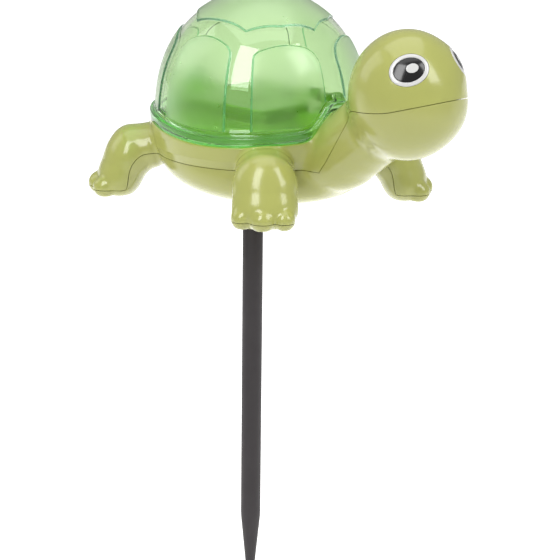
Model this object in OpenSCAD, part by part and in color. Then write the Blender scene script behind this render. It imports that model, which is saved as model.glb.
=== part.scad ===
// Turtle-shaped battery garden light on a push-in ground stake.
// +X points to the head, +Y to the turtle's left, +Z up.
// The origin is on the stake's axis, level with the soles of the feet.

/* [Shell] */
// Radius of the clear shell's wall
shell_r = 47.6; // [47:0.1:48]
// Height of the shell's crown above the soles
shell_top = 94.3; // [92:0.2:98]
// Wall thickness of the clear shell
shell_wall = 2.2; // [1.8:0.1:2.2]
// How far the rim flange stands out from the shell's wall
flange_out = 2.1; // [1.6:0.1:2.4]
// Height of the rim flange
flange_h = 4.2; // [3:0.2:4.4]

/* [Body] */
// Radius of the belly at the seam of the two body halves
belly_r = 46.7; // [46:0.1:47]
// Height of that seam above the soles
seam_z = 21.4; // [21:0.1:21.8]
// Wall thickness of the body mouldings
wall = 2.2; // [1.8:0.1:2.4]
// Height of the deck inside the shell
deck_z = 39.2; // [38.9:0.1:39.6]
// Length of the raised lamp seat on the deck
seat_l = 54.8; // [52:0.2:56]
// Width of the raised lamp seat
seat_w = 53.8; // [52:0.2:56]
// Height of the lamp seat above the deck
seat_h = 7; // [6.8:0.1:7.2]

/* [Head and legs] */
// Distance of the head's centre ahead of the stake
head_x = 93.8; // [92:0.2:96]
// Height of the head's centre
head_z = 58.9; // [58.5:0.2:59.5]
// Half width of the head
head_r = 25.6; // [25:0.1:26]
// Half height of the head
head_h = 28.3; // [28:0.1:29]
// Distance of the feet from their common centre
foot_d = 64; // [63.5:0.1:64.5]
// Angle of the legs away from the long axis
leg_angle = 43.3; // [42:0.1:45]

/* [Stake] */
// Diameter of the stake
stake_d = 9.2; // [9:0.1:9.4]
// Length of the stake below the soles, point included
stake_l = 188; // [150:1:240]
// Length of the pointed end
point_l = 36; // [25:1:45]
// Width across the two flats of the keyed top end
key_w = 7.2; // [6.8:0.1:7.4]
// Length of the keyed top end
key_l = 22; // [18:1:24]

/* [Power] */
// Diameter of one cell
cell_d = 10.5; // [10.2:0.1:10.5]
// Length of one cell, terminal included
cell_l = 44.5; // [43:0.5:44.5]
// Travel of the power switch
switch_travel = 3; // [2:0.5:3]

/* [Hidden] */

gap = 0.3;               // clearance between pieces that move apart
fit = 0.08;              // clearance of screws and of the stake in their holes
tiny = 0.01;             // overlap of shapes joined into one piece
olive = [0.70, 0.71, 0.42];
clear_green = [0.45, 0.85, 0.45, 0.6];
steel = [0.75, 0.76, 0.78];
charcoal = [0.15, 0.15, 0.16];

// Shell and trunk
shell_x = 4.6;           // centre of the shell and belly
shell_base = 33.9;       // height where the shell's wall starts to lean in
lean_z = 46;             // lowest step of the shell's curved outline
lean_power = 2.65;       // how late the wall turns over towards the crown
round_power = 1.8;       // how flat the crown is
rim_low = 31.5;          // lowest height of the rim
rim_low_x = 22;          // where the rim is lowest
rim_rise = 5.4;          // how much higher the rim is at the tail
rim_front = 0.0028;      // how fast the rim rises towards the head
ledge = 0.8;             // height of the gasket under the shell's wall
flange_r = shell_r + flange_out;
flange_under = 1.9;      // height of the flange's underside above the notch in the wall
notch_w = 19;            // half width of the neck notch
notch_z = 33.9;          // height where the notch starts
notch_x = 42;            // the notch cuts the shell ahead of this
notch_shape = [[-notch_w, 0], [-16, 1.3], [-12, 5.6], [-6, 11.3],
    [6, 11.3], [12, 5.6], [16, 1.3], [notch_w, 0]];
plug_r = shell_r - shell_wall - 0.8;   // radius of the body's plug inside the shell
channel_deep = 0.7;      // the channels between the raised plates
channel_z = 44;          // lower end of the upright channels
channel_at = [0, 57, 112, 180, -112, -57];   // where they are, round from the head
channel_half = [7.4, 6.6, 5.8, 6, 5.8, 6.6]; // half of each one's angle
cap_z = 81.5;            // lower edge of the plate on the crown
plate_z = 74.5;          // upper edge of the side plates
belly_lean = 0.56;       // how far the belly leans forward as it goes down
belly_deep = 19.8;       // depth of the belly below the seam
belly_power = 2.6;       // squareness of the belly's profile
part_z = seam_z - 0.4;   // height of the parting plane of the two halves

// Legs and head
feet_x = 5.45;           // centre of the four feet
sole_z = 3.8;            // height of the seam round the soles
mouth_side = 27;         // half width of the head's parting surface
eye_at = [108.9, 15.6, 73.9];
eye_az = 45.9;           // the eye faces this far round from ahead
eye_el = 29.6;           // and this far up
eye_tilt = 22;           // turn of the oval in the eye's plane
eye_a = 8.6;             // half length of the white
eye_b = 7.1;             // half width of the white
pupil_a = 6.7;
pupil_b = 5.2;
glint_a = 2.7;
glint_b = 2.05;
glint_x = -1.5;          // how far the glint sits ahead of the pupil's middle
eye_ball = 26.5;         // radius of the eye's curved face
eye_proud = 0.5;         // how far the eye stands out of the head
eye_deep = 2.6;          // depth of the eye's pieces

// Screw posts, [x, y] of each
body_posts = [[38, 16], [38, -16], [-24, 22], [-24, -22]];
shell_posts = [[37.5, 0], [-28, 12], [-28, -12]];
board_posts = [[23, 18], [23, -18], [-13, 18], [-13, -18]];
shell_post_h = [14.5, 5.4, 5.4];       // height of each shell post above the deck
shell_rib_z = [9, 0.8, 0.8];           // start of each post's rib above the deck
shell_post_r = 3;
rib_h = 4.2;
rib_t = 1.6;
post_r = 3.6;            // body posts
board_post_r = 2.8;
well_z = 13.5;           // top of the wells of the body screws
screw_r = 1.3;
screw_head_r = 2.5;
screw_head_h = 1.8;

// Socket of the stake
socket_z = 1.5;          // lower end of the socket
socket_r = 7.4;
key_r = stake_d / 2 - 0.4;             // the keyed end is a little slimmer than the stake

// Lamp
board_z = 36.4;          // underside of the circuit board
board_t = 1.6;
board_w = 44;
board_x = 5;             // middle of the board
led_r = 2.5;
led_at = [[12, 9], [12, -9]];          // the two lamps, seen from above

// Battery bay
bay_x = [10.3, 31.9];
bay_y = 26;              // half length of the bay
bay_top = 18.7;
bay_wall = 1.5;
door_z = 5.4;            // outer face of the battery door
door_t = 1.8;
tongue_l = 8.4;          // the door's screw tongue
tongue_w = 10;
door_post_x = 36.2;
cell_z = 13;             // height of the cells' axes
cell_x = [15.7, 26.5];
cell_end = -bay_y + 1.1;               // end of the cells that meets the bridge plate
spring_end = bay_y - 0.8;              // face of the spring plates
spring_turns = 3;
contact_t = 0.5;         // sheet metal of the contacts
tab_w = 3;
tab_top = bay_top + bay_wall + 2.5;    // where the leads are soldered
lead_r = 0.6;
lead_y = spring_end - lead_r - 0.02;
lead_drop = 0.7;         // the leads end this far below the board and the tabs

// Switch
switch_x = -20;
pocket_z = 9.2;          // roof of the finger pocket
pocket_x = 7;
pocket_y = 14;
floor_t = 2;             // plastic between the pocket and the switch
slot_x = 4.2;
slot_y = 8.4;
case_l = 15;
case_w = 7;
case_h = 6;
ear_y = 10.5;            // the switch's two small screws
seat_z = pocket_z + floor_t;           // where the switch rests

function rim_z(x) = x < rim_low_x
    ? rim_low + rim_rise / 2 * (1 - cos(180 * (rim_low_x - x) / (rim_low_x + 44)))
    : rim_low + rim_front * pow(x - rim_low_x, 2);

// Heights of the shell's outline above its straight wall, closer together at the crown
shell_steps = concat([for (z = [lean_z:4:shell_top - 6]) z],
    [for (t = [4, 2.4, 1.2, 0.5, 0.15]) shell_top - t]);

function shell_radius(z, r) = z <= shell_base ? r
    : r * pow(1 - pow(min(1, (z - shell_base) / (shell_top - shell_base)), lean_power), 1 / round_power);

// Sweep of a round wire along a list of points; across is a direction the wire never points in
function unit(v) = v / norm(v);
function path_dir(p, i) = unit(p[min(i + 1, len(p) - 1)] - p[max(i - 1, 0)]);

module wire(path, r, across, sides = 8) {
    pts = [for (i = [0:len(path) - 1])
        let (d = path_dir(path, i), a = unit(cross(d, across)), b = cross(d, a))
            for (k = [0:sides - 1]) path[i] + r * (cos(360 * k / sides) * a + sin(360 * k / sides) * b)];
    n = len(path);
    walls = [for (i = [0:n - 2]) for (k = [0:sides - 1])
        let (j = (k + 1) % sides, at = i * sides, next = at + sides)
            each [[at + k, next + k, next + j], [at + k, next + j, at + j]]];
    caps = [[for (k = [0:sides - 1]) k], [for (k = [sides - 1:-1:0]) (n - 1) * sides + k]];
    polyhedron(points = pts, faces = concat(walls, caps), convexity = 6);
}

function arc_path(a, b, sag, n = 10) =
    [for (i = [0:n]) a + (b - a) * i / n + sag * sin(180 * i / n)];

module oval(rx, ry, rz, fn = 28) {
    scale([rx, ry, rz]) sphere(1, $fn = fn);
}

module both_sides() {
    children();
    mirror([0, 1, 0]) children();
}

// Everything below the rim, as a block; lift raises it
module below_rim(lift = 0) {
    steps = [for (x = [-60:6:66]) [x, rim_z(x) + lift]];
    rotate([90, 0, 0]) linear_extrude(140, center = true)
        polygon(concat([[66, -20]], [[-60, -20]], steps));
}

// Everything below the neck notch in the shell
module below_notch(lift = 0) {
    top = [for (p = notch_shape) [p.x, notch_z + p.y + lift]];
    rotate([90, 0, 90]) translate([0, 0, notch_x]) linear_extrude(30)
        polygon(concat([[-notch_w, 20]], top, [[notch_w, 20]]));
}

// The part of the animal that belongs to the lower moulding
module lower_zone() {
    translate([feet_x, 0, 0]) rotate_extrude($fn = 60)
        polygon([[0, 0], [0, part_z], [50, part_z], [54.3, 20.4], [57.6, 17.8], [60, 14],
            [61, sole_z + 1], [62, sole_z], [95, sole_z], [95, 0]]);
    rotate([90, 0, 0]) linear_extrude(2 * mouth_side, center = true)
        polygon([[45, 0], [45, part_z], [57, part_z], [63, 28.8], [70, 39.8], [75, 48.8], [80, 52.8],
            [90, 53.9], [102, 55], [109, 56.9], [119, 59.9], [140, 66.3], [140, 0]]);
}

// One leg along +X, drawn smaller by inset for its hollow
module leg(inset, fn) {
    hull() {
        translate([42, 0, 24.6]) oval(10 - inset, 12.2 - inset, 8.9 - inset, fn);
        translate([foot_d - 5.4, 0, 19.6]) oval(10.4 - inset, 13.4 - inset, 11.9 - inset, fn);
    }
    hull() {
        translate([foot_d - 4, 0, 17.5]) oval(10.4 - inset, 13.6 - inset, 9 - inset, fn);
        translate([foot_d, 0, 7.6]) oval(10 - inset, 14.6 - inset, 9.1 - inset, fn);
    }
}

module toes(turn, reach) {
    translate([foot_d, 0, 0]) rotate([0, 0, turn])
        for (a = [-1, 0, 1]) translate([reach - 2.2 * abs(a), 9.4 * a, 4.9])
            oval(5.6, 5, 5.2, 12);
}

module legs(inset = 0, fn = 20) {
    intersection() {
        both_sides() translate([feet_x, 0, 0]) {
            rotate([0, 0, leg_angle]) {
                leg(inset, fn);
                if (inset == 0) toes(10, 6.6);
            }
            rotate([0, 0, 180 - leg_angle]) {
                leg(inset, fn);
                if (inset == 0) toes(0, 8);
            }
        }
        below_rim(-0.05 - inset);
    }
}

module head(inset = 0, fn = 34) {
    translate([head_x, 0, head_z]) oval(head_r - inset, head_r - inset, head_h - inset, fn);
    translate([head_x + 0.9, 0, head_z - 4]) oval(head_r - 0.3 - inset, head_r - 0.8 - inset, 22 - inset, fn);
    hull() {
        translate([50, 0, 22.9]) oval(20 - inset, 17 - inset, 13 - inset, fn - 10);
        translate([84, 0, 48.9]) oval(18 - inset, 16 - inset, 16 - inset, fn - 10);
    }
}

// Round trunk with the belly bowl, the flank and the plug inside the shell
module trunk(inset = 0, fn = 60) {
    r = belly_r - inset;
    e = 2 / belly_power;
    multmatrix([[1, 0, -belly_lean, shell_x + belly_lean * seam_z], [0, 1, 0, 0], [0, 0, 1, 0]])
        rotate_extrude($fn = fn) polygon(concat([for (a = [-90:9:0])
            [r * pow(cos(a), e), seam_z - (belly_deep - inset) * pow(-sin(a), e)]],
            [[r - 1.5, seam_z + 1], [0, seam_z + 1]]));
    intersection() {
        translate([shell_x, 0, 0]) rotate_extrude($fn = fn)
            polygon([[0, seam_z - 1], [r - 1.5, seam_z - 1], [r - 0.1, seam_z - 0.3], [r + 1.7, seam_z + 3.6],
                [flange_r - 0.4 - inset, 30.6], [flange_r - inset, 46], [0, 46]]);
        below_rim(-inset);
    }
    top = deck_z - inset;
    translate([shell_x, 0, 0]) rotate_extrude($fn = fn)
        polygon([[0, seam_z + 2], [plug_r - inset, seam_z + 2], [plug_r - inset, top - 2],
            [plug_r - 0.6 - inset, top - 0.6], [plug_r - 2 - inset, top], [0, top]]);
}

module seat(inset = 0) {
    translate([shell_x + 0.4, 0, deck_z - 6]) linear_extrude(seat_h + 6 - inset)
        offset(r = 3, $fn = 24) square([seat_l - 6 - 2 * inset, seat_w - 6 - 2 * inset], center = true);
}

module eye_place() {
    both_sides() translate(eye_at) rotate([0, 0, eye_az]) rotate([0, 90 - eye_el, 0])
        rotate([0, 0, 90 - eye_tilt]) children();
}

module eye_disc(a, b, grow = 0, fn = 180) {
    intersection() {
        translate([0, 0, eye_proud - eye_ball]) sphere(eye_ball, $fn = fn);
        translate([0, 0, -eye_deep]) linear_extrude(eye_deep + 2)
            scale([a + grow, b + grow]) circle(1, $fn = 48);
    }
}

module animal(inset = 0) {
    trunk(inset, inset == 0 ? 56 : 32);
    legs(inset, inset == 0 ? 18 : 10);
    head(inset, inset == 0 ? 32 : 20);
}

module posts(list, z0, z1, r = post_r, fn = 20) {
    for (p = list) translate([p.x, p.y, z0]) cylinder(r = r, h = z1 - z0, $fn = fn);
}

module screws(list, z, length, up = 1) {
    for (p = list) translate([p.x, p.y, z]) mirror([0, 0, up > 0 ? 0 : 1]) {
        difference() {
            cylinder(r = screw_head_r, h = screw_head_h, $fn = 32);
            for (a = [0, 90]) rotate([0, 0, a]) translate([0, 0, -tiny]) cube([2.8, 0.6, 1.6], center = true);
        }
        translate([0, 0, screw_head_h - tiny]) cylinder(r = screw_r, h = length + tiny, $fn = 32);
    }
}

module shell_outline(r) {
    polygon(concat([[0, 20], [r, 20], [r, lean_z - 3.5]],
        [for (z = shell_steps) [shell_radius(z, r), z]], [[0, shell_top]]));
}

// Ring of the rim flange, from inner radius r outwards
module flange_ring(r) {
    translate([shell_x, 0, 20]) difference() {
        cylinder(r = flange_r, h = 35, $fn = 96);
        translate([0, 0, -1]) cylinder(r = r, h = 37, $fn = 96);
    }
}

// What is cut away between the raised plates: upright channels and a ring below the crown's plate
module channels() {
    difference() {
        union() {
            for (i = [0:len(channel_at) - 1]) rotate([0, 0, channel_at[i]])
                translate([0, 0, channel_z]) linear_extrude(plate_z + 1 - channel_z)
                    polygon([[0, 0], for (s = [-1, 1]) 60 * [cos(channel_half[i]), s * sin(channel_half[i])]]);
            translate([0, 0, plate_z]) cylinder(r = 60, h = cap_z - plate_z, $fn = 24);
        }
        rotate_extrude($fn = 96) translate([0, -channel_deep]) shell_outline(shell_r - channel_deep);
    }
}

module shell_wall_form() {
    difference() {
        translate([shell_x, 0, 0]) rotate_extrude($fn = 96) difference() {
            shell_outline(shell_r);
            translate([0, -shell_wall]) shell_outline(shell_r - shell_wall);
        }
        translate([shell_x, 0, 0]) channels();
        below_rim(ledge);
        below_notch();
    }
}

// The flange follows the rim and rises over the neck
module flange() {
    intersection() {
        flange_ring(shell_r - 0.4);
        difference() {
            below_rim(flange_h);
            below_rim(0);
            below_notch(flange_under);
        }
    }
    intersection() {
        flange_ring(shell_r - 1.2);
        difference() {
            below_notch(flange_h);
            below_notch(flange_under);
            below_rim(flange_h - 1);
        }
    }
}

// Post for one shell screw, with a rib to the wall
module shell_post(i) {
    post = shell_posts[i];
    reach = norm([post.x - shell_x, post.y]);
    posts([post], deck_z + 0.1, deck_z + shell_post_h[i], shell_post_r, 32);
    translate([shell_x, 0, 0]) rotate([0, 0, atan2(post.y, post.x - shell_x)])
        translate([reach, -rib_t / 2, deck_z + shell_rib_z[i]])
            cube([shell_r - shell_wall / 2 - 0.9 - reach, rib_t, rib_h]);
}

module clear_shell() color(clear_green) {
    difference() {
        union() {
            shell_wall_form();
            flange();
            for (i = [0:2]) shell_post(i);
        }
        posts(shell_posts, deck_z - 1, deck_z + 4.6, screw_r + fit, 32);
    }
}

module shell_gasket() color([0.85, 0.86, 0.84]) {
    difference() {
        intersection() {
            translate([shell_x, 0, 20]) difference() {
                cylinder(r = shell_r - 0.5, h = 30, $fn = 96);
                translate([0, 0, -1]) cylinder(r = shell_r - shell_wall + 0.1, h = 32, $fn = 96);
            }
            below_rim(ledge - 0.02);
        }
        below_rim(0.02);
        translate([30, -notch_w - 1, 0]) cube([40, 2 * notch_w + 2, 60]);
    }
}

module shell_screws() color(steel)
    screws(shell_posts, deck_z - wall - screw_head_h, wall + 4);

module upper_body() color(olive) {
    difference() {
        union() {
            difference() {
                union() {
                    animal();
                    seat();
                }
                animal(wall);
                seat(wall);
            }
            intersection() {
                head();
                eye_place() translate([0, 0, -eye_deep - 2])
                    scale([eye_a + 2, eye_b + 2, 1]) cylinder(r = 1, h = 6);
            }
            posts(body_posts, seam_z + 0.1, deck_z - 1);
            posts(board_posts, board_z + board_t, deck_z + seat_h - 1, board_post_r);
        }
        lower_zone();
        translate([20, 0, -49]) cube([240, 160, 100], center = true);
        eye_place() eye_disc(eye_a, eye_b, 0.05, 48);
        eye_place() translate([0, 0, -1.6]) linear_extrude(6)
            scale([eye_a + 0.05, eye_b + 0.05]) circle(1, $fn = 48);
        posts(body_posts, seam_z - 1, well_z + 19, screw_r + fit);
        posts(board_posts, board_z, board_z + board_t + 5.5, screw_r + fit);
        posts(shell_posts, deck_z - 5, deck_z + 2, screw_r + fit);
        posts(led_at, deck_z, deck_z + 12, led_r + 0.2);
    }
}

module lower_body() color(olive) {
    difference() {
        union() {
            intersection() {
                difference() {
                    animal();
                    animal(wall);
                }
                lower_zone();
            }
            // Bosses and well walls, trimmed to the belly's surface
            intersection() {
                union() {
                    posts(body_posts, 0, seam_z - 0.1);
                    posts([[door_post_x, 0]], 0, 17, 3);
                    bay_block(0);
                    translate([switch_x - pocket_x / 2 - 2, -pocket_y / 2 - 6, 0])
                        cube([pocket_x + 4, pocket_y + 12, seat_z]);
                }
                trunk(0.4, 40);
            }
            posts([[0, 0]], socket_z, key_l + 2, socket_r, 48);
            bay_block(door_z);
        }
        // Battery bay and the seat of its door
        translate([bay_x[0], -bay_y, -5]) cube([bay_x[1] - bay_x[0], 2 * bay_y, bay_top + 5]);
        translate([bay_x[0], -tongue_w / 2, -5])
            cube([bay_x[1] - bay_x[0] + tongue_l, tongue_w, door_z + door_t + gap + 5]);
        for (x = cell_x) translate([x - tab_w / 2 - 0.1, spring_end - 0.1, bay_top - 1])
            cube([tab_w + 0.2, contact_t + 0.2, 5]);
        // Keyed socket of the stake
        translate([0, 0, -1]) key_form(key_l + 1.5, fit);
        // Screw wells and holes
        posts(body_posts, -1, well_z, screw_head_r + 0.4);
        posts(body_posts, 0, seam_z + 1, screw_r + fit);
        posts([[door_post_x, 0]], 5, 16, screw_r + fit);
        // Switch pocket and slot
        translate([switch_x - pocket_x / 2, -pocket_y / 2, -5]) cube([pocket_x, pocket_y, pocket_z + 5]);
        translate([switch_x - slot_x / 2, -slot_y / 2, 0]) cube([slot_x, slot_y, 15]);
        for (s = [-1, 1]) translate([switch_x, s * ear_y, pocket_z]) cylinder(r = 0.9, h = 5, $fn = 20);
    }
}

module bay_block(z0) {
    translate([bay_x[0] - bay_wall, -bay_y - bay_wall, z0])
        cube([bay_x[1] - bay_x[0] + 2 * bay_wall, 2 * (bay_y + bay_wall), bay_top + bay_wall - z0]);
}

module key_form(length, grow) {
    intersection() {
        cylinder(r = key_r + grow, h = length, $fn = 48);
        translate([0, 0, length / 2]) cube([key_w + 2 * grow, 30, length + 1], center = true);
    }
}

module body_screws() color(steel)
    screws(body_posts, well_z - screw_head_h, 17);

module eye_whites() color("white") eye_place() difference() {
    eye_disc(eye_a, eye_b, 0, 64);
    translate([0, 0, -eye_deep - 1]) linear_extrude(8) scale([pupil_a, pupil_b]) circle(1, $fn = 48);
}

module eye_pupils() color([0.1, 0.1, 0.1]) eye_place() difference() {
    eye_disc(pupil_a - 0.02, pupil_b - 0.02);
    translate([glint_x, 0, -eye_deep - 1]) linear_extrude(8) scale([glint_a, glint_b]) circle(1, $fn = 40);
}

module eye_glints() color("white") eye_place() intersection() {
    eye_disc(pupil_a, pupil_b);
    translate([glint_x, 0, -eye_deep - 1]) linear_extrude(8)
        scale([glint_a - 0.02, glint_b - 0.02]) circle(1, $fn = 40);
}

module circuit_board() color([0.1, 0.4, 0.2]) difference() {
    translate([board_x - board_w / 2, -board_w / 2, board_z]) cube([board_w, board_w, board_t - 0.05]);
    posts(board_posts, board_z - 1, board_z + 4, screw_r + 0.2, 32);
}

module board_parts() color(charcoal) {
    translate([2, -4, board_z - 1.7]) cube([6, 5, 1.7 - 0.02]);
    for (y = [-10, 10]) translate([0, y, board_z - 1.1]) cube([6, 2.4, 1.1 - 0.02]);
    translate([16, 0, board_z - 6]) cylinder(r = 2.5, h = 6 - 0.02, $fn = 32);
}

module board_screws() color(steel)
    screws(board_posts, board_z - screw_head_h - 0.05, board_t + 4.5);

module led_lamps() color([1, 0.95, 0.8, 0.8]) for (p = led_at) translate([p.x, p.y, board_z + board_t]) {
    cylinder(r = 2.9, h = 1, $fn = 32);
    cylinder(r = led_r, h = 6.1, $fn = 32);
    translate([0, 0, 6.1]) intersection() {
        sphere(led_r, $fn = 32);
        translate([0, 0, 2]) cube([6, 6, 4], center = true);
    }
}

module battery_cells() color([0.2, 0.25, 0.3]) for (i = [0, 1])
    translate([cell_x[i], i == 0 ? cell_end : cell_end + cell_l, cell_z]) rotate([i == 0 ? -90 : 90, 0, 0]) {
        cylinder(r = cell_d / 2, h = cell_l - 1, $fn = 48);
        translate([0, 0, cell_l - 1 - tiny]) cylinder(r = 1.9, h = 1 - 0.03, $fn = 32);
    }

// Conical springs, wound about Y, that widen towards the spring plate
module battery_springs() color(steel) for (x = cell_x) {
    start = cell_end + cell_l + 0.55;
    rise = spring_end - start - 0.4;
    wire([for (i = [0:36]) let (t = i / 36, r = 2.3 + 1.6 * t, a = t * spring_turns * 360)
        [x + r * cos(a), start + rise * min(1, max(0, (t - 0.1) / 0.8)), cell_z + r * sin(a)]],
        0.25, [0, 1, 0], 6);
}

module spring_plate() color(steel) for (x = cell_x) {
    translate([x - 4.4, spring_end, cell_z - 4.4]) cube([8.8, contact_t, 8.8]);
    translate([x - tab_w / 2, spring_end, cell_z]) cube([tab_w, contact_t, tab_top - cell_z]);
}

module bridge_plate() color(steel)
    translate([bay_x[0] + 0.4, -bay_y + 0.1, cell_z - 4.2])
        cube([bay_x[1] - bay_x[0] - 0.8, contact_t, 8.4]);

module battery_door() color(olive) difference() {
    union() {
        translate([bay_x[0] + gap, -bay_y + gap, door_z])
            cube([bay_x[1] - bay_x[0] - 2 * gap, 2 * bay_y - 2 * gap, door_t]);
        translate([bay_x[1] - 1, -tongue_w / 2 + gap, door_z])
            cube([tongue_l + 1 - gap, tongue_w - 2 * gap, door_t]);
        for (y = [-18, 0, 18]) translate([bay_x[0] + 2, y - 2, door_z + door_t - tiny])
            cube([1.2, 4, 0.8]);
    }
    translate([door_post_x, 0, door_z - 1]) cylinder(r = screw_r + 0.25, h = 5, $fn = 32);
    for (i = [-2:2]) translate([bay_x[0] + 3, i * 3 - 0.5, door_z - tiny]) cube([5, 1, 0.6]);
}

module door_seal() color([0.2, 0.2, 0.2]) difference() {
    translate([bay_x[0] + 0.6, -bay_y + 0.6, door_z + door_t + 0.05]) cube([21, 2 * bay_y - 1.2, 0.25]);
    translate([bay_x[0] + 1.8, -bay_y + 1.8, 0]) cube([18.6, 2 * bay_y - 3.6, 20]);
}

module door_screw() color(steel)
    screws([[door_post_x, 0]], door_z - screw_head_h - 0.05, 7);

module switch_case() color(charcoal) translate([switch_x, 0, seat_z + 0.45]) difference() {
    union() {
        translate([-case_w / 2, -case_l / 2, 0]) cube([case_w, case_l, case_h]);
        translate([-2.5, -ear_y - 2.5, 0]) cube([5, 2 * ear_y + 5, 1]);
    }
    translate([-2.4, -5.4, -1]) cube([4.8, 10.8, 4]);
    for (s = [-1, 1]) translate([0, s * ear_y, -1]) cylinder(r = 1.05, h = 4, $fn = 24);
}

module switch_slider() color([0.08, 0.08, 0.08]) translate([switch_x, -switch_travel / 2, 0]) {
    translate([-1.8, -2, pocket_z - 1.8]) cube([3.6, 4, floor_t + 2.6]);
    translate([-2.1, -3.2, seat_z + 0.75]) cube([4.2, 6.4, 1.8]);
}

module switch_screws() color(steel) for (s = [-1, 1]) translate([switch_x, s * ear_y, seat_z + 1.5]) {
    cylinder(r = 1.6, h = 1.1, $fn = 24);
    translate([0, 0, -3.2]) cylinder(r = 0.8, h = 3.2 + tiny, $fn = 24);
}

module red_lead() color([0.8, 0.1, 0.1])
    wire(arc_path([cell_x[0], lead_y, tab_top - lead_drop], [8, 19, board_z - lead_drop], [0, -3, 0]),
        lead_r, [1, 0, 0]);

module black_lead() color([0.05, 0.05, 0.05])
    wire(arc_path([cell_x[1], lead_y, tab_top - lead_drop], [16, 19, board_z - lead_drop], [3, -3, 0]),
        lead_r, [1, 0, 0]);

module stake() color([0.26, 0.24, 0.25]) {
    cut = stake_l - point_l;
    translate([0, 0, -cut]) cylinder(r = stake_d / 2, h = cut + socket_z - gap, $fn = 64);
    translate([0, 0, -stake_l]) cylinder(r1 = 0.8, r2 = stake_d / 2, h = point_l, $fn = 64);
    key_form(key_l, 0);
}

clear_shell();
shell_gasket();
shell_screws();
upper_body();
lower_body();
body_screws();
eye_whites();
eye_pupils();
eye_glints();
circuit_board();
board_parts();
board_screws();
led_lamps();
battery_cells();
battery_springs();
spring_plate();
bridge_plate();
battery_door();
door_seal();
door_screw();
switch_case();
switch_slider();
switch_screws();
red_lead();
black_lead();
stake();
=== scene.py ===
"""Turtle garden light: the looks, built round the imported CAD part.

Lengths are millimetres in the CAD part's frame, until make_mesh turns them into metres.
Lamps, camera and floor glow are placed in metres.
"""
import math

import bmesh
import bpy
import numpy as np
from mathutils import Matrix, Vector


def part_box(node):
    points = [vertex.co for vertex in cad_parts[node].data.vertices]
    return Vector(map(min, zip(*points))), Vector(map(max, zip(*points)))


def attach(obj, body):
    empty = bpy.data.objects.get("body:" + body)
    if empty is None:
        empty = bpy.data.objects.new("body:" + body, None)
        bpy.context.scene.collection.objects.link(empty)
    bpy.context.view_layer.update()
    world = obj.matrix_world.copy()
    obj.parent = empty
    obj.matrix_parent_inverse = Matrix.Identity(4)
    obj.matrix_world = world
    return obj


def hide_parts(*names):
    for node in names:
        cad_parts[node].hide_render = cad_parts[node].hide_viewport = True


MM = 0.001
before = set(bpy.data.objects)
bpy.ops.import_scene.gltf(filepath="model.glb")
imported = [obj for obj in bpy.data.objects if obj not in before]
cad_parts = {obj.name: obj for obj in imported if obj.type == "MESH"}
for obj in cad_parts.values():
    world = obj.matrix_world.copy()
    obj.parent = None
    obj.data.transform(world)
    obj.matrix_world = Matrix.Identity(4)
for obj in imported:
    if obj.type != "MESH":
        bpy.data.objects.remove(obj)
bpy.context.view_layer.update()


def node_box(node):
    """A CAD node's lowest and highest corner."""
    low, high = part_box(node)
    return np.array(low) / MM, np.array(high) / MM


# ---------------------------------------------------------------- sizes taken from the frame
shell_low, shell_high = node_box("clear_shell")
upper_low, upper_high = node_box("upper_body")
lower_low, lower_high = node_box("lower_body")
door_low, door_high = node_box("battery_door")
stake_low, stake_high = node_box("stake")

# ---------------------------------------------------------------- sizes shared by the pieces
FLANGE_R = shell_high[1]                # the clear shell's rim, its widest place
SHELL_X = shell_low[0] + FLANGE_R       # the shell's middle, ahead of the stake's axis
SHELL_TOP = shell_high[2]
SHELL_R = FLANGE_R - 2.1                # outside of the shell's wall
SHELL_WALL = 2.2
SHELL_BASE = shell_low[2] + 2.4         # where the dome's curve stands upright
RIM_LOW = shell_low[2]                  # the rim dips to this height
RIM_LOW_X = 22.0
RIM_RISE = 5.4
STAKE_R = stake_high[1]
STAKE_TIP = stake_low[2]
HEAD_X = 93.8
HEAD_Z = 58.9
SEAM_Z = 21.4                           # the parting line round the flank
DECK_Z = 39.2                           # the body's flat top under the shell
BELLY_R = 46.7
BELLY_DEEP = 19.8
BELLY_LEAN = 0.56                       # how far the belly moves forward for each mm down
BELLY_POWER = 2.6
PLUG_R = SHELL_R - SHELL_WALL - 0.8     # the deck stands inside the shell's wall
SEAT_X = SHELL_X + 0.4                  # the raised lamp seat and its half sizes
SEAT_HALF = (27.4, 26.9)
FEET_X = 5.45                           # the point that the legs spread from
LEG_ANGLE = math.radians(43.3)
SOLE_SEAM = 3.8
WALL = 2.2
SEAM_GAP = 0.13
SOCKET_GAP = 0.12                       # round an eye
EYE_AT = np.array([108.9, 15.6, 73.9])
EYE_AZ = math.radians(45.9)
EYE_EL = math.radians(29.6)
EYE_TILT = math.radians(22)
EYE_BULGE_R = 26.5
EYE_A, EYE_B = 8.6, 7.1                 # half lengths of the ovals
PUPIL_A, PUPIL_B = 6.85, 5.35
GLINT_A, GLINT_B = 2.7, 2.05
GLINT_X = 1.5
LAMP_AT = (12.0, 9.0)
LAMP_HOLE_R = 2.75
BODY_POSTS = ((38.0, 16.0), (-24.0, 22.0))
BELOW = -9.0                            # lower than any part of the body, for cuts from below
STEP = 0.6       # grid of the body's mesh


# ---------------------------------------------------------------- distance functions
def smooth_min(a, b, k):
    """The nearer of two distances, with a fillet of about k where they meet."""
    h = np.maximum(k - np.abs(a - b), 0) / k
    return np.minimum(a, b) - h * h * k * 0.25


def smooth_max(a, b, k):
    return -smooth_min(-a, -b, k)


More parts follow.
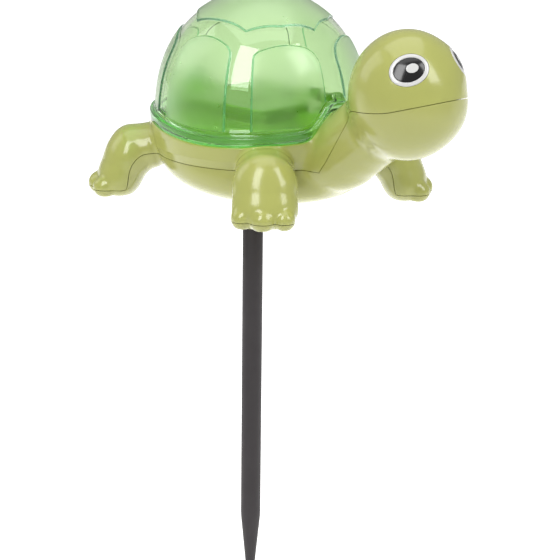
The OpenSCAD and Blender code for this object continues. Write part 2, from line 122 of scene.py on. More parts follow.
def oval(x, y, z, centre, radii):
    """Distance to an ellipsoid, good near its surface."""
    px, py, pz = x - centre[0], y - centre[1], z - centre[2]
    k0 = np.sqrt((px / radii[0]) ** 2 + (py / radii[1]) ** 2 + (pz / radii[2]) ** 2)
    k1 = np.sqrt((px / radii[0] ** 2) ** 2 + (py / radii[1] ** 2) ** 2 + (pz / radii[2] ** 2) ** 2)
    return k0 * (k0 - 1) / np.maximum(k1, 1e-6)


def limb(x, y, z, start, end, steps, k):
    """A chain of ellipsoids from one (centre, radii) to another, blended."""
    out = None
    for i in range(steps):
        t = i / (steps - 1)
        centre = [a + (b - a) * t for a, b in zip(start[0], end[0])]
        radii = [a + (b - a) * t for a, b in zip(start[1], end[1])]
        d = oval(x, y, z, centre, radii)
        out = d if out is None else smooth_min(out, d, k)
    return out


def block(x, y, z, low, high, r=0.0):
    """Distance to a box with edges rounded by r."""
    qx = np.abs(x - (low[0] + high[0]) / 2) - (high[0] - low[0]) / 2 + r
    qy = np.abs(y - (low[1] + high[1]) / 2) - (high[1] - low[1]) / 2 + r
    qz = np.abs(z - (low[2] + high[2]) / 2) - (high[2] - low[2]) / 2 + r
    outside = np.sqrt(np.maximum(qx, 0) ** 2 + np.maximum(qy, 0) ** 2 + np.maximum(qz, 0) ** 2)
    return outside + np.minimum(np.maximum(qx, np.maximum(qy, qz)), 0) - r


def post(x, y, z, at, r, z0, z1):
    """Distance to an upright cylinder."""
    side = np.sqrt((x - at[0]) ** 2 + (y - at[1]) ** 2) - r
    return np.maximum(side, np.abs(z - (z0 + z1) / 2) - (z1 - z0) / 2)


def polygon_distance(u, v, points):
    """Signed distance to a closed outline, negative inside."""
    best = np.full(u.shape, 1e9, u.dtype)
    inside = np.zeros(u.shape, bool)
    n = len(points)
    for i in range(n):
        ax, ay = points[i]
        bx, by = points[(i + 1) % n]
        ex, ey = bx - ax, by - ay
        wx, wy = u - ax, v - ay
        t = np.clip((wx * ex + wy * ey) / (ex * ex + ey * ey), 0, 1)
        best = np.minimum(best, (wx - ex * t) ** 2 + (wy - ey * t) ** 2)
        if ey != 0:
            crosses = (ay > v) != (by > v)
            inside ^= crosses & (u < ex * (v - ay) / ey + ax)
    best = np.sqrt(best)
    return np.where(inside, -best, best)


def rounded(points, passes=2):
    """Corner-cut an open outline, keeping its ends."""
    for _ in range(passes):
        new = [points[0]]
        for a, b in zip(points[:-1], points[1:]):
            new.append((a[0] * 0.75 + b[0] * 0.25, a[1] * 0.75 + b[1] * 0.25))
            new.append((a[0] * 0.25 + b[0] * 0.75, a[1] * 0.25 + b[1] * 0.75))
        new.append(points[-1])
        points = new
    return points


def rim_z(x):
    """Height of the joint between the shell's rim and the body."""
    rear = RIM_LOW + RIM_RISE / 2 * (1 - np.cos(np.pi * (RIM_LOW_X - x) / (RIM_LOW_X + 44)))
    front = RIM_LOW + 0.0028 * (x - RIM_LOW_X) ** 2
    return np.where(x < RIM_LOW_X, rear, front)


def notch_rise(y):
    """How much the shell's lower edge rises over the neck."""
    return 11.2 * np.exp(-(np.abs(y) / 11.4) ** 3.2)


# ---------------------------------------------------------------- the animal
def belly(x, y, z):
    """The bowl below the seam, leaning forward."""
    dz = SEAM_Z - z
    px = x - SHELL_X - BELLY_LEAN * dz
    r = np.sqrt(px * px + y * y)
    p = BELLY_POWER
    n = ((r / BELLY_R) ** p + (np.abs(dz) / BELLY_DEEP) ** p) ** (1 / p)
    d = np.sqrt(r * r + dz * dz) * (n - 1) / np.maximum(n, 0.2)
    return np.maximum(d * 0.9, z - SEAM_Z - 1)


def flank(x, y, z):
    """The side between the seam and the shell's rim."""
    r = np.sqrt((x - SHELL_X) ** 2 + y * y)
    heights = (SEAM_Z - 2, SEAM_Z, 25.0, 30.6, 46.0)
    outline = np.interp(z, heights, (45.6, 46.75, 48.4, 49.2, FLANGE_R))
    side = smooth_max(r - outline, z - rim_z(x) - notch_rise(y) + 0.1, 0.9)
    return np.maximum(side, SEAM_Z - 1.5 - z)


def leg(u, v, z, reach, turn):
    """One leg along u. Its three toes reach forward of the foot's middle and turn a little about it."""
    foot = 64
    arm = limb(u, v, z, ((42, 0, 24.6), (10, 12.2, 8.9)), ((58.6, 0, 19.8), (10.4, 13.4, 11.7)), 3, 3)
    column = limb(u, v, z, ((60, 0, 17.5), (10.4, 13.5, 9)), ((foot, 0, 7.6), (10, 14.4, 9.1)), 3, 3)
    d = smooth_min(arm, column, 3)
    c, s = math.cos(turn), math.sin(turn)
    tu, tv = (u - foot) * c + v * s, -(u - foot) * s + v * c
    for i, radii in ((-1, (5.3, 4.7, 4.9)), (0, (5.9, 5.7, 5.3)), (1, (5.5, 4.9, 5.1))):
        toe = oval(tu, tv, z, (reach - 2.2 * abs(i), 9.2 * i, 4.9), radii)
        d = smooth_min(d, toe, 1.3)
    return d


def legs(x, y, z):
    """The front and the rear leg of one side, cut off at the rim."""
    out = None
    for angle, reach, turn in ((LEG_ANGLE, 6.8, 0.17), (math.pi - LEG_ANGLE, 8.0, 0.0)):
        c, s = math.cos(angle), math.sin(angle)
        u, v = (x - FEET_X) * c + y * s, -(x - FEET_X) * s + y * c
        d = leg(u, v, z, reach, turn)
        out = d if out is None else np.minimum(out, d)
    return smooth_max(out, z - rim_z(x) + 0.15, 0.8)


def eye_axes():
    """Long axis, short axis and outward direction of the left eye."""
    level = math.cos(EYE_EL)
    n = np.array([level * math.cos(EYE_AZ), level * math.sin(EYE_AZ), math.sin(EYE_EL)])
    side = np.array([-math.sin(EYE_AZ), math.cos(EYE_AZ), 0])
    up = np.cross(n, side)
    long = -side * math.cos(EYE_TILT) + up * math.sin(EYE_TILT)
    return long, np.cross(n, long), n


def head(x, y, z):
    """Skull and muzzle, with a mound under each eye."""
    skull = oval(x, y, z, (HEAD_X, 0, HEAD_Z), (25.6, 25.6, 28.3))
    muzzle = oval(x, y, z, (HEAD_X + 0.9, 0, HEAD_Z - 4), (25.3, 24.8, 21.8))
    d = smooth_min(skull, muzzle, 1.5)
    mound = EYE_AT - eye_axes()[2] * 17.5
    away = np.sqrt((x - mound[0]) ** 2 + (y - mound[1]) ** 2 + (z - mound[2]) ** 2)
    return smooth_min(d, away - 18, 1.6)


def animal(x, y, z):
    """Outside of the whole moulded body, for y of either sign."""
    trunk = smooth_min(belly(x, y, z), flank(x, y, z), 0.25)
    neck = limb(x, y, z, ((50, 0, 22.9), (20, 17, 13)), ((84, 0, 48.9), (18, 16, 16)), 5, 4)
    d = smooth_min(head(x, y, z), neck, 5)
    under_rim = smooth_min(trunk, d, 3.5)
    d = smooth_min(under_rim, legs(x, y, z), 2.2)
    r = np.sqrt((x - SHELL_X) ** 2 + y * y)
    plug = smooth_max(r - PLUG_R, np.abs(z - DECK_Z + 9) - 9, 2.0)
    across, wide = SEAT_HALF
    seat = block(x, y, z, (SEAT_X - across, -wide, DECK_Z - 9), (SEAT_X + across, wide, DECK_Z + 7), 0.9)
    corners = upright(x - SEAT_X, y, across, wide, 3.2)
    plug = smooth_min(plug, np.maximum(seat, corners), 1.2)
    d = np.minimum(d, plug)
    return smooth_max(d, -z, 1.2)


def upright(x, y, half_x, half_y, r):
    """Distance to an upright block of rounded rectangle section, without ends."""
    qx, qy = np.abs(x) - half_x + r, np.abs(y) - half_y + r
    outside = np.sqrt(np.maximum(qx, 0) ** 2 + np.maximum(qy, 0) ** 2)
    return outside + np.minimum(np.maximum(qx, qy), 0) - r


# The parting line: down each leg as distance from FEET_X and height, and up the neck as x and height
LEG_SEAM = rounded([(50, 21.0), (54.3, 20.4), (57.6, 17.8), (60, 14), (61, 5), (61.6, SOLE_SEAM),
                    (66, SOLE_SEAM), (95, SOLE_SEAM)])
NECK_SEAM = rounded([(57, 21.0), (63, 28.8), (70, 39.8), (75, 48.8), (80, 52.8), (90, 53.9), (102, 55),
                     (109, 56.9), (119, 59.9), (140, 66.3)])
PART_Z = SEAM_Z - 0.4
MOUTH_SIDE = 27.0                       # the neck's line ends this far out, clear of the front legs


def parting(x, y, z):
    """Positive where the upper moulding is, negative where the lower one is."""
    rho = np.sqrt((x - FEET_X) ** 2 + y * y)
    feet = polygon_distance(rho, z, [(-9, BELOW), (-9, PART_Z)] + LEG_SEAM + [(95, BELOW)])
    neck = polygon_distance(x, z, [(40, BELOW), (40, PART_Z)] + NECK_SEAM + [(140, BELOW)])
    return np.minimum(feet, np.maximum(neck, np.abs(y) - MOUTH_SIDE))


def eye_frame(x, y, z):
    """Coordinates along the left eye's axes."""
    q = (x - EYE_AT[0], y - EYE_AT[1], z - EYE_AT[2])
    return tuple(sum(a * b for a, b in zip(q, axis)) for axis in eye_axes())


def upper_solid(x, y, z, outside, split):
    """The upper moulding: a shell with the eyes' sockets and the lamps' holes."""
    y = np.abs(y)
    d = np.maximum(outside, SEAM_GAP - split)
    d = np.maximum(d, -(outside + WALL))
    a, b, h = eye_frame(x, y, z)
    socket = np.sqrt((a / (EYE_A + SOCKET_GAP)) ** 2 + (b / (EYE_B + SOCKET_GAP)) ** 2)
    socket = np.maximum((socket - 1) * EYE_B, -WALL - h)
    d = np.maximum(d, -socket)
    return np.maximum(d, -post(x, y, z, LAMP_AT, LAMP_HOLE_R, DECK_Z + 2, 60))


def lower_solid(x, y, z, outside, split):
    """The lower moulding: a shell, and solid round the battery bay, stake socket, screw posts and switch."""
    y = np.abs(y)
    d = np.maximum(outside, SEAM_GAP + split)
    gap, rib = 0.3, 1.5
    bay_low = (door_low[0] - gap, -door_high[1] - gap, BELOW)
    bay_high = (31.9, door_high[1] + gap, 18.7)
    keep = block(x, y, z, (bay_low[0] - rib, bay_low[1] - rib, BELOW),
                 (bay_high[0] + rib, bay_high[1] + rib, bay_high[2] + rib))
    keep = np.minimum(keep, post(x, y, z, (0, 0), 7.4, 1.5, 24))
    keep = np.minimum(keep, post(x, y, z, (36.2, 0), 4.5, 0, 17))
    keep = np.minimum(keep, block(x, y, z, (-25.5, -13, BELOW), (-14.5, 13, 11.2)))
    for at in BODY_POSTS:
        keep = np.minimum(keep, post(x, y, z, at, 3.6, BELOW, SEAM_Z))
    d = np.maximum(d, -np.maximum(outside + WALL, -keep))
    cuts = [block(x, y, z, bay_low, bay_high),
            block(x, y, z, (bay_high[0] - 2, -5, BELOW), (40.3, 5, 7.5)),
            post(x, y, z, (0, 0), STAKE_R + 0.1, BELOW, 23.5)]
    cuts += [post(x, y, z, at, 2.9, BELOW, 13.5) for at in BODY_POSTS]
    cuts += [block(x, y, z, (-23.5, -7, BELOW), (-16.5, 7, 9.2)),
             block(x, y, z, (-22.1, -4.2, 0), (-17.9, 4.2, 15))]
    for cut in cuts:
        d = np.maximum(d, -cut)
    return d


# ---------------------------------------------------------------- turning a distance into a mesh
def crossings(solid, f, axes, step, axis):
    """Where the surface crosses the grid's edges along one axis: each edge's lower node, the place, its normal,
    and whether that node is inside."""
    inside = f < 0
    before, after = [slice(None)] * 3, [slice(None)] * 3
    before[axis], after[axis] = slice(0, -1), slice(1, None)
    node = list(np.nonzero(inside[tuple(before)] != inside[tuple(after)]))
    start = np.stack([axes[c][node[c]] for c in range(3)], 1)
    far = list(node)
    far[axis] = node[axis] + 1
    fa, fb = f[tuple(node)], f[tuple(far)]
    t0, t1 = np.zeros_like(fa), np.ones_like(fa)
    t = np.clip(fa / (fa - fb), 0.02, 0.98)
    unit = np.zeros(3)
    unit[axis] = step
    for _ in range(3):
        p = start + t[:, None] * unit
        ft = solid(p[:, 0], p[:, 1], p[:, 2])
        same = (ft < 0) == (fa < 0)
        t0, t1 = np.where(same, t, t0), np.where(same, t1, t)
        fa, fb = np.where(same, ft, fa), np.where(same, fb, ft)
        span = np.where(np.abs(fa - fb) < 1e-9, 1e-9, fa - fb)
        t = t0 + (t1 - t0) * np.clip(fa / span, 0.05, 0.95)
    p = start + t[:, None] * unit
    return np.stack(node, 1), p, gradient(solid, p), inside[tuple(node)]


def contour(solid, f, axes, step):
    """Dual contouring: a closed quad mesh of the place where solid(x, y, z) is zero, sharp edges kept. f is
    solid on the grid that axes spans."""
    cells = tuple(n - 1 for n in f.shape)
    places, normals, rings, owners = [], [], [], []
    offset = 0
    for axis in range(3):
        node, p, n, inside = crossings(solid, f, axes, step, axis)
        places.append(p)
        normals.append(n)
        u, v = [(1, 2), (2, 0), (0, 1)][axis]
        ok = (node[:, u] > 0) & (node[:, v] > 0) & (node[:, u] < cells[u]) & (node[:, v] < cells[v])
        ring = []
        for du, dv in ((-1, -1), (0, -1), (0, 0), (-1, 0)):
            cell = node.copy()
            cell[:, u] += du
            cell[:, v] += dv
            ring.append(((cell[:, 0] * cells[1] + cell[:, 1]) * cells[2] + cell[:, 2])[ok])
        ring = np.stack(ring, 1)
        flip = ~inside[ok]
        ring[flip] = ring[flip][:, ::-1]
        rings.append(ring.reshape(-1))
        owners.append(np.repeat(np.arange(len(node))[ok] + offset, 4))
        offset += len(node)
    owner = np.concatenate(owners)
    used, corner = np.unique(np.concatenate(rings), return_inverse=True)
    m = len(used)
    n, p = np.concatenate(normals)[owner], np.concatenate(places)[owner]
    # Each cell's point: the middle of its crossings, moved onto the planes through them
    weight = np.bincount(corner, minlength=m).astype(float)
    middle = np.stack([np.bincount(corner, p[:, c], m) for c in range(3)], 1) / weight[:, None]
    off = (n * (p - middle[corner])).sum(1)
    planes = np.zeros((m, 3, 3))
    for r in range(3):
        for c in range(r, 3):
            planes[:, r, c] = planes[:, c, r] = np.bincount(corner, n[:, r] * n[:, c], m)
    pull = np.stack([np.bincount(corner, n[:, c] * off, m) for c in range(3)], 1)
    planes += np.eye(3) * 0.08
    shift = np.linalg.solve(planes, pull[..., None])[..., 0]
    limit = step * 0.9
    return middle + np.clip(shift, -limit, limit), corner.reshape(-1, 4)


def gradient(solid, p, h=0.02):
    """Direction in which the distance grows, at each point."""
    g = np.empty_like(p)
    for c in range(3):
        a, b = p.copy(), p.copy()
        a[:, c] += h
        b[:, c] -= h
        g[:, c] = solid(a[:, 0], a[:, 1], a[:, 2]) - solid(b[:, 0], b[:, 1], b[:, 2])
    return g / np.maximum(np.linalg.norm(g, axis=1, keepdims=True), 1e-9)


def half_grid(low, high, step):
    """Node positions, with the Y nodes mirrored about zero, and how many of them are on each side."""
    xs = np.arange(low[0], high[0] + step, step)
    half = np.arange(step / 2, high[1] + step, step)
    ys = np.concatenate([-half[::-1], half])
    zs = np.arange(low[2], high[2] + step, step)
    return xs, ys, zs, len(half)


def quad_normals(solid, verts, faces):
    """Corner normals: the surface's own where it is smooth, the face's side of it at a sharp edge."""
    corners = verts[faces]
    d1, d2 = corners[:, 2] - corners[:, 0], corners[:, 3] - corners[:, 1]
    face_n = np.cross(d1, d2)
    face_n /= np.maximum(np.linalg.norm(face_n, axis=1, keepdims=True), 1e-12)
    vert_n = gradient(solid, verts, 0.05)
    loops = vert_n[faces]
    face_rep = np.repeat(face_n[:, None, :], 4, 1)
    bad = (loops * face_rep).sum(2) < 0.96
    centre = corners.mean(1, keepdims=True)
    probe = corners * 0.65 + centre * 0.35
    fixed = gradient(solid, probe[bad], 0.03)
    still = (fixed * face_rep[bad]).sum(1) < 0.8
    fixed[still] = face_rep[bad][still]
    loops[bad] = fixed
    return loops.reshape(-1, 3)


def make_mesh(name, verts, faces, normals=None):
    """A mesh object from millimetre points. faces is an array of quads, or a list of loops."""
    mesh = bpy.data.meshes.new(name)
    if isinstance(faces, np.ndarray):
        n, k = faces.shape
        mesh.vertices.add(len(verts))
        mesh.vertices.foreach_set("co", (np.asarray(verts) * MM).astype(np.float32).ravel())
        mesh.loops.add(n * k)
        mesh.loops.foreach_set("vertex_index", faces.astype(np.int32).ravel())
        mesh.polygons.add(n)
        mesh.polygons.foreach_set("loop_start", np.arange(0, n * k, k, dtype=np.int32))
        mesh.update(calc_edges=True)
    else:
        mesh.from_pydata([tuple(np.asarray(v) * MM) for v in verts], [], faces)
    mesh.polygons.foreach_set("use_smooth", np.ones(len(mesh.polygons), bool))
    mesh.validate()
    if normals is not None and len(mesh.loops) == len(normals):
        mesh.normals_split_custom_set(normals.astype(np.float32))
    obj = bpy.data.objects.new(name, mesh)
    bpy.context.collection.objects.link(obj)
    return obj


def body_meshes():
    """Both body mouldings. Their distances are worked out for one side and mirrored."""
    low = np.minimum(upper_low, lower_low) - 1.5
    high = np.maximum(upper_high, lower_high) + 1.5
    xs, ys, zs, half = half_grid(low, high, STEP)
    xs, ys, zs = (a.astype(np.float32) for a in (xs, ys, zs))
    gx, gy, gz = np.meshgrid(xs, ys[half:], zs, indexing="ij")
    outside = animal(gx, gy, gz)
    split = parting(gx, gy, gz)
    made = []
    for name, build in (("upper_moulding", upper_solid), ("lower_moulding", lower_solid)):
        f = build(gx, gy, gz, outside, split)
        f = np.concatenate([f[:, ::-1], f], 1)

        def solid(x, y, z, build=build):
            y = np.abs(y)
            return build(x, y, z, animal(x, y, z), parting(x, y, z))

        verts, faces = contour(solid, f, (xs, ys, zs), STEP)
        made.append(make_mesh(name, verts, faces, quad_normals(solid, verts, faces)))
    return made


# ---------------------------------------------------------------- the clear shell
CHANNEL_DEPTH = 0.7                     # the polished channels between the raised plates
STEP_WIDTH = 0.75
# Middle and half width in degrees, height of the top in mm from the crown, its bend, and the two corner radii
SIDE_PLATES = ((-28.6, 21.2, 43.4, 0.0090, 2.5, 6.0), (-85.7, 21.1, 40.6, 0.0120, 5.0, 3.0),
               (-147.0, 29.0, 42.0, 0.0062, 5.0, 5.0))
# Places on the shell that belong to no plate, told apart by their distance value
CLEAR = -90.0
RIM = -200.0
# Material index of each kind of place
CHANNEL_LOOK, STEP_LOOK, PLATE_LOOK, RIM_LOOK = range(4)
CROWN_SPAN = 3                          # the profile is sampled closer for this far down from the crown
CROWN_RING = 0.35                       # first row's distance from the crown
PROFILE_LOW = 20                        # the profile is followed down to here


def shell_radius(z, r):
    """The dome's profile."""
    q = np.clip((z - SHELL_BASE) / (SHELL_TOP - SHELL_BASE), 0, 1)
    return r * (1 - q ** 2.65) ** (1 / 1.8)


def running_length(z, r):
    """Length along a profile from its first point."""
    return np.concatenate([[0], np.cumsum(np.hypot(np.diff(z), np.diff(r)))])


def profile_heights(top, close, wide):
    """Heights from the top down, close together near the crown."""
    return np.concatenate([np.linspace(top, top - CROWN_SPAN, close, endpoint=False),
                           np.linspace(top - CROWN_SPAN, PROFILE_LOW, wide)])


def smooth_step(t):
    return t * t * (3 - 2 * t)


def plate_distance(azimuth, s, r):
    """How far inside a raised plate a place on the shell is, in mm. azimuth is in degrees, and s runs down
    from the crown."""
    a = -np.abs(azimuth)
    edge = np.interp(-a, (0, 28, 57, 85, 112, 146, 180), (1, 0, 1, 0, 1, 0, 1))
    corner = np.interp(-a, (0, 57, 112, 180), (5.8, 4.4, 3.2, 5.0))
    cap = np.interp(-a, (0, 28, 57, 85), (31.3, 33.4, 31.8, 31.3)) + corner * edge ** 2.6 - s
    best = cap
    for middle, half, peak, bend, rear, front in SIDE_PLATES:
        off = a - middle
        side = (half - np.abs(off)) * np.pi / 180 * r
        top = s - (peak + bend * off * off)
        slope = np.sqrt(1 + (2 * bend * off * 180 / np.pi / np.maximum(r, 5)) ** 2)
        best = np.maximum(best, smooth_min(side, top / slope, np.where(off > 0, front, rear)))
    return best


def shell_columns():
    """Azimuths of the columns and, for each, the height of the shell's lower edge."""
    columns = 900
    azimuth = np.arange(columns) * 360.0 / columns
    azimuth = (azimuth + 180) % 360 - 180
    x = SHELL_X + FLANGE_R * np.cos(np.radians(azimuth))
    y = FLANGE_R * np.sin(np.radians(azimuth))
    return azimuth, rim_z(x) + notch_rise(y)


def clear_shell():
    """The dome with its raised plates, channels and rim. Its rows of points go from the gasket ledge round the
    rim, up the outside and down the inside."""
    azimuth, edge = shell_columns()
    c, s = np.cos(np.radians(azimuth)), np.sin(np.radians(azimuth))
    inner_r = SHELL_R - SHELL_WALL
    ledge = 0.8
    rows, plates = [], []

    def ring(r, z, plate):
        r, z = np.broadcast_to(r, azimuth.shape), np.broadcast_to(z, azimuth.shape)
        rows.append(np.stack([SHELL_X + r * c, r * s, z], 1))
        plates.append(np.broadcast_to(plate, azimuth.shape))

    # The rim's section, as radius and height above the edge
    for r, up in ((inner_r, ledge), (47.1, ledge), (47.2, 0.7), (47.2, 0.1), (47.3, 0.0), (49.2, 0.0),
                  (49.45, 0.06), (49.62, 0.2), (49.7, 0.45), (49.7, 3.3), (49.66, 3.6), (49.52, 3.9),
                  (49.25, 4.1), (48.9, 4.2), (48.5, 4.26), (48.2, 4.36), (47.98, 4.55), (47.85, 4.8)):
        ring(r, edge + up, RIM)
    profile_z = profile_heights(SHELL_TOP, 200, 900)
    profile_r = shell_radius(profile_z, SHELL_R)
    profile_s = running_length(profile_z, profile_r)
    wall_z = edge + 5.2
    wall_s = np.interp(-wall_z, -profile_z, profile_s)
    count = 260
    for i in range(count + 1):
        t = 1 - i / count
        place = wall_s * t + CROWN_RING * (1 - t)
        z = np.interp(place, profile_s, profile_z)
        r = np.interp(place, profile_s, profile_r)
        plate = plate_distance(azimuth, place, r)
        raised = smooth_step(np.clip(plate / STEP_WIDTH + 0.5, 0, 1))
        fade = np.clip((z - wall_z) / 3.0, 0, 1)
        depth = CHANNEL_DEPTH * (1 - raised) * smooth_step(fade)
        z2 = np.interp(place + 0.2, profile_s, profile_z)
        r2 = np.interp(place + 0.2, profile_s, profile_r)
        length = np.hypot(r2 - r, z2 - z)
        nr, nz = -(z2 - z) / length, (r2 - r) / length
        ring(r - nr * depth, z - nz * depth, np.where(fade > 0.4, plate, CLEAR))
    outer_rows = len(rows)
    inner_z = profile_heights(SHELL_TOP - SHELL_WALL, 60, 400)
    inner_rad = shell_radius(inner_z + SHELL_WALL, SHELL_R) * (inner_r / SHELL_R)
    inner_s = running_length(inner_z, inner_rad)
    low_s = np.interp(-(edge + ledge), -inner_z, inner_s)
    inner_rows = 71
    for i in range(inner_rows):
        place = CROWN_RING + (low_s - CROWN_RING) * i / inner_rows
        ring(np.interp(place, inner_s, inner_rad), np.interp(place, inner_s, inner_z), CLEAR)
    grid = np.arange(len(rows) * len(azimuth)).reshape(len(rows), len(azimuth))
    plate = np.stack(plates)
    right, plate_right = np.roll(grid, -1, axis=1), np.roll(plate, -1, axis=1)
    quads, kinds = [], []
    for i in range(len(rows)):
        j = (i + 1) % len(rows)
        if i == outer_rows - 1:
            continue
        quads.append(np.stack([grid[i], right[i], right[j], grid[j]], 1))
        if i < outer_rows - 1:
            kinds.append((plate[i] + plate_right[i] + plate[j] + plate_right[j]) / 4)
        else:
            kinds.append(np.full(len(azimuth), CLEAR))
    kind = np.concatenate(kinds)
    obj = make_mesh("clear_shell_moulding", np.concatenate(rows), np.concatenate(quads))
    mesh = obj.data
    half = STEP_WIDTH / 2
    # Steps between plates and channels take the darker teal material, which is painted shade along the plates'
    # edges.
    look = np.where(kind > half, PLATE_LOOK, np.where(kind < -half, CHANNEL_LOOK, STEP_LOOK))
    look = np.where(kind < (RIM + CLEAR) / 2, RIM_LOOK, look)
    mesh.polygons.foreach_set("material_index", look.astype(np.int32))
    # Close the two small rings at the crown
    bm = bmesh.new()
    bm.from_mesh(mesh)
    bm.verts.ensure_lookup_table()
    for row, outward, look in ((outer_rows - 1, False, PLATE_LOOK), (outer_rows, True, CHANNEL_LOOK)):
        loop = [bm.verts[k] for k in grid[row]]
        face = bm.faces.new(loop[::-1] if outward else loop)
        face.smooth = True
        face.material_index = look
    bm.to_mesh(mesh)
    bm.free()
    return obj


ON_AXIS = 0.001                         # radius of a turned piece's end ring, in place of a point


def skin(rows):
    """Quads between rows of points that each go once round."""
    sides = len(rows[0])
    grid = np.arange(len(rows) * sides).reshape(len(rows), sides)
    right = np.roll(grid, -1, axis=1)
    return np.concatenate([np.stack([grid[i], right[i], right[i + 1], grid[i + 1]], 1)
                           for i in range(len(rows) - 1)])


def lathe(name, section, at=(0, 0), sides=96):
    """A turned piece. section holds (radius, height) pairs."""
    angle = np.arange(sides) * 2 * np.pi / sides
    rows = [np.stack([at[0] + r * np.cos(angle), at[1] + r * np.sin(angle), np.full(sides, z)], 1)
            for r, z in section]
    return make_mesh(name, np.concatenate(rows), skin(rows))


def tube(name, at, r, z0, z1, hole_r, hole_top):
    """An upright post with a softened top and a blind hole from below."""
    edge = 0.25
    section = [(ON_AXIS, hole_top), (hole_r, hole_top), (hole_r, z0), (r, z0), (r, z1 - edge),
               (r - edge * 0.3, z1 - edge * 0.3), (r - edge, z1), (ON_AXIS, z1)]
    return lathe(name, section, at, 48)


def join(main, other):
    with bpy.context.temp_override(active_object=main, selected_editable_objects=[main, other]):
        bpy.ops.object.join()
    return main


def box_piece(name, low, high):
    """A plain flat-sided box."""
    verts = [(x, y, z) for x in (low[0], high[0]) for y in (low[1], high[1]) for z in (low[2], high[2])]
    faces = [(0, 1, 3, 2), (4, 6, 7, 5), (0, 4, 5, 1), (2, 3, 7, 6), (0, 2, 6, 4), (1, 5, 7, 3)]
    obj = make_mesh(name, verts, faces)
    for p in obj.data.polygons:
        p.use_smooth = False
    return obj


def shell_post(at, top, rib_z):
    """One screw post of the clear shell with its rib to the wall. top and rib_z are heights over the deck."""
    piece = tube("post", at, 3.0, DECK_Z + 0.1, DECK_Z + top, 1.4, DECK_Z + 4.6)
    away = np.array([at[0] - SHELL_X, at[1]])
    reach = np.linalg.norm(away)
    rib = box_piece("rib", (reach + 2.8, -0.8, DECK_Z + rib_z), (45.2, 0.8, DECK_Z + rib_z + 4.2))
    turn = Matrix.Rotation(math.atan2(away[1], away[0]), 4, "Z")
    rib.data.transform(Matrix.Translation((SHELL_X * MM, 0, 0)) @ turn)
    return join(piece, rib)


# ---------------------------------------------------------------- eyes
def eye_ring(name, side, section, centre=0.0, sides=144):
    """An oval piece in the eye's plane, curved with the head. side is 1 on the left and -1 on the right.
    section holds (half length, half width, height) rings, and centre moves them along the long axis."""
    axes = np.stack(eye_axes(), 1)
    at = EYE_AT.copy()
    axes[1] *= side
    at[1] *= side
    angle = np.arange(sides) * 2 * np.pi / sides
    rows = []
    for a, b, h in section:
        local = np.stack([centre + a * np.cos(angle), b * np.sin(angle), np.full(sides, h)], 1)
        local[:, 2] -= (local[:, 0] ** 2 + local[:, 1] ** 2) / (2 * EYE_BULGE_R)
        rows.append(local @ axes.T + at)
    faces = skin(rows)
    return make_mesh(name, np.concatenate(rows), faces[:, ::-1] if side < 0 else faces)


def eyes():
    """(node, piece) for the white ring, the black oval and the glint of both eyes."""
    made = []
    for side, word in ((1, "left"), (-1, "right")):
        hole_a, hole_b = PUPIL_A + 0.05, PUPIL_B + 0.05
        white = [(EYE_A, EYE_B, -1.9)]
        for t in np.linspace(0, 1, 14):
            in_a, in_b = ((1 - math.cos(t * math.pi)) * (hole - outer) / 2
                          for hole, outer in ((hole_a, EYE_A), (hole_b, EYE_B)))
            white.append((EYE_A + in_a, EYE_B + in_b, 0.28 + 0.22 * math.sin(t * math.pi) ** 0.7))
        white.append((hole_a, hole_b, -0.6))
        made.append(("eye_whites", eye_ring("eye_white_" + word, side, white)))
        black = [(PUPIL_A, PUPIL_B, -0.6), (PUPIL_A, PUPIL_B, 0.18)]
        for k in (0.985, 0.96, 0.92, 0.86, 0.76, 0.64, 0.5, 0.36, 0.22, 0.1, 0.001):
            black.append((PUPIL_A * k, PUPIL_B * k, 0.26 + 0.34 * (1 - k * k)))
        made.append(("eye_pupils", eye_ring("eye_pupil_" + word, side, black)))
        glint = [(GLINT_A, GLINT_B, 0.3)]
        for k in (1.0, 0.97, 0.9, 0.7, 0.4, 0.001):
            glint.append((GLINT_A * k, GLINT_B * k, 0.6 + 0.08 * (1 - k * k)))
        made.append(("eye_glints", eye_ring("eye_glint_" + word, side, glint, GLINT_X, 72)))
    return made


# ---------------------------------------------------------------- materials
def material(name):
    """A new material, its node tree and its Principled node."""
    mat = bpy.data.materials.new(name)
    mat.use_nodes = True
    return mat, mat.node_tree, mat.node_tree.nodes["Principled BSDF"]


def linear(rgb, share=1.0):
    """An 8-bit display colour as linear RGBA, times share."""
    parts = (v / 255 for v in rgb)
    parts = (c / 12.92 if c <= 0.04045 else ((c + 0.055) / 1.055) ** 2.4 for c in parts)
    return tuple(min(c * share, 1.0) for c in parts) + (1,)


def add(tree, kind, **values):
    """A new node with these settings."""
    node = tree.nodes.new(kind)
    for key, value in values.items():
        setattr(node, key, value)
    return node


def coordinates(tree):
    where = add(tree, "ShaderNodeTexCoord")
    mapping = add(tree, "ShaderNodeMapping")
    tree.links.new(where.outputs["Object"], mapping.inputs["Vector"])
    return mapping.outputs["Vector"]


def noise(tree, where, scale, detail):
    n = add(tree, "ShaderNodeTexNoise")
    n.inputs["Scale"].default_value = scale
    n.inputs["Detail"].default_value = detail
    n.inputs["Roughness"].default_value = 0.5
    tree.links.new(where, n.inputs["Vector"])
    return n.outputs["Fac"]


def colour(tree, shader, fac, low, high):
    """Base colour from low to high over the noise's middle range."""
    r = add(tree, "ShaderNodeValToRGB")
    r.color_ramp.elements[0].position, r.color_ramp.elements[1].position = 0.3, 0.7
    r.color_ramp.elements[0].color, r.color_ramp.elements[1].color = low, high
    tree.links.new(fac, r.inputs["Fac"])
    tree.links.new(r.outputs["Color"], shader.inputs["Base Color"])


def roughness(tree, shader, fac, low, high):
    m = add(tree, "ShaderNodeMapRange")
    m.inputs["To Min"].default_value = low
    m.inputs["To Max"].default_value = high
    tree.links.new(fac, m.inputs["Value"])
    tree.links.new(m.outputs["Result"], shader.inputs["Roughness"])


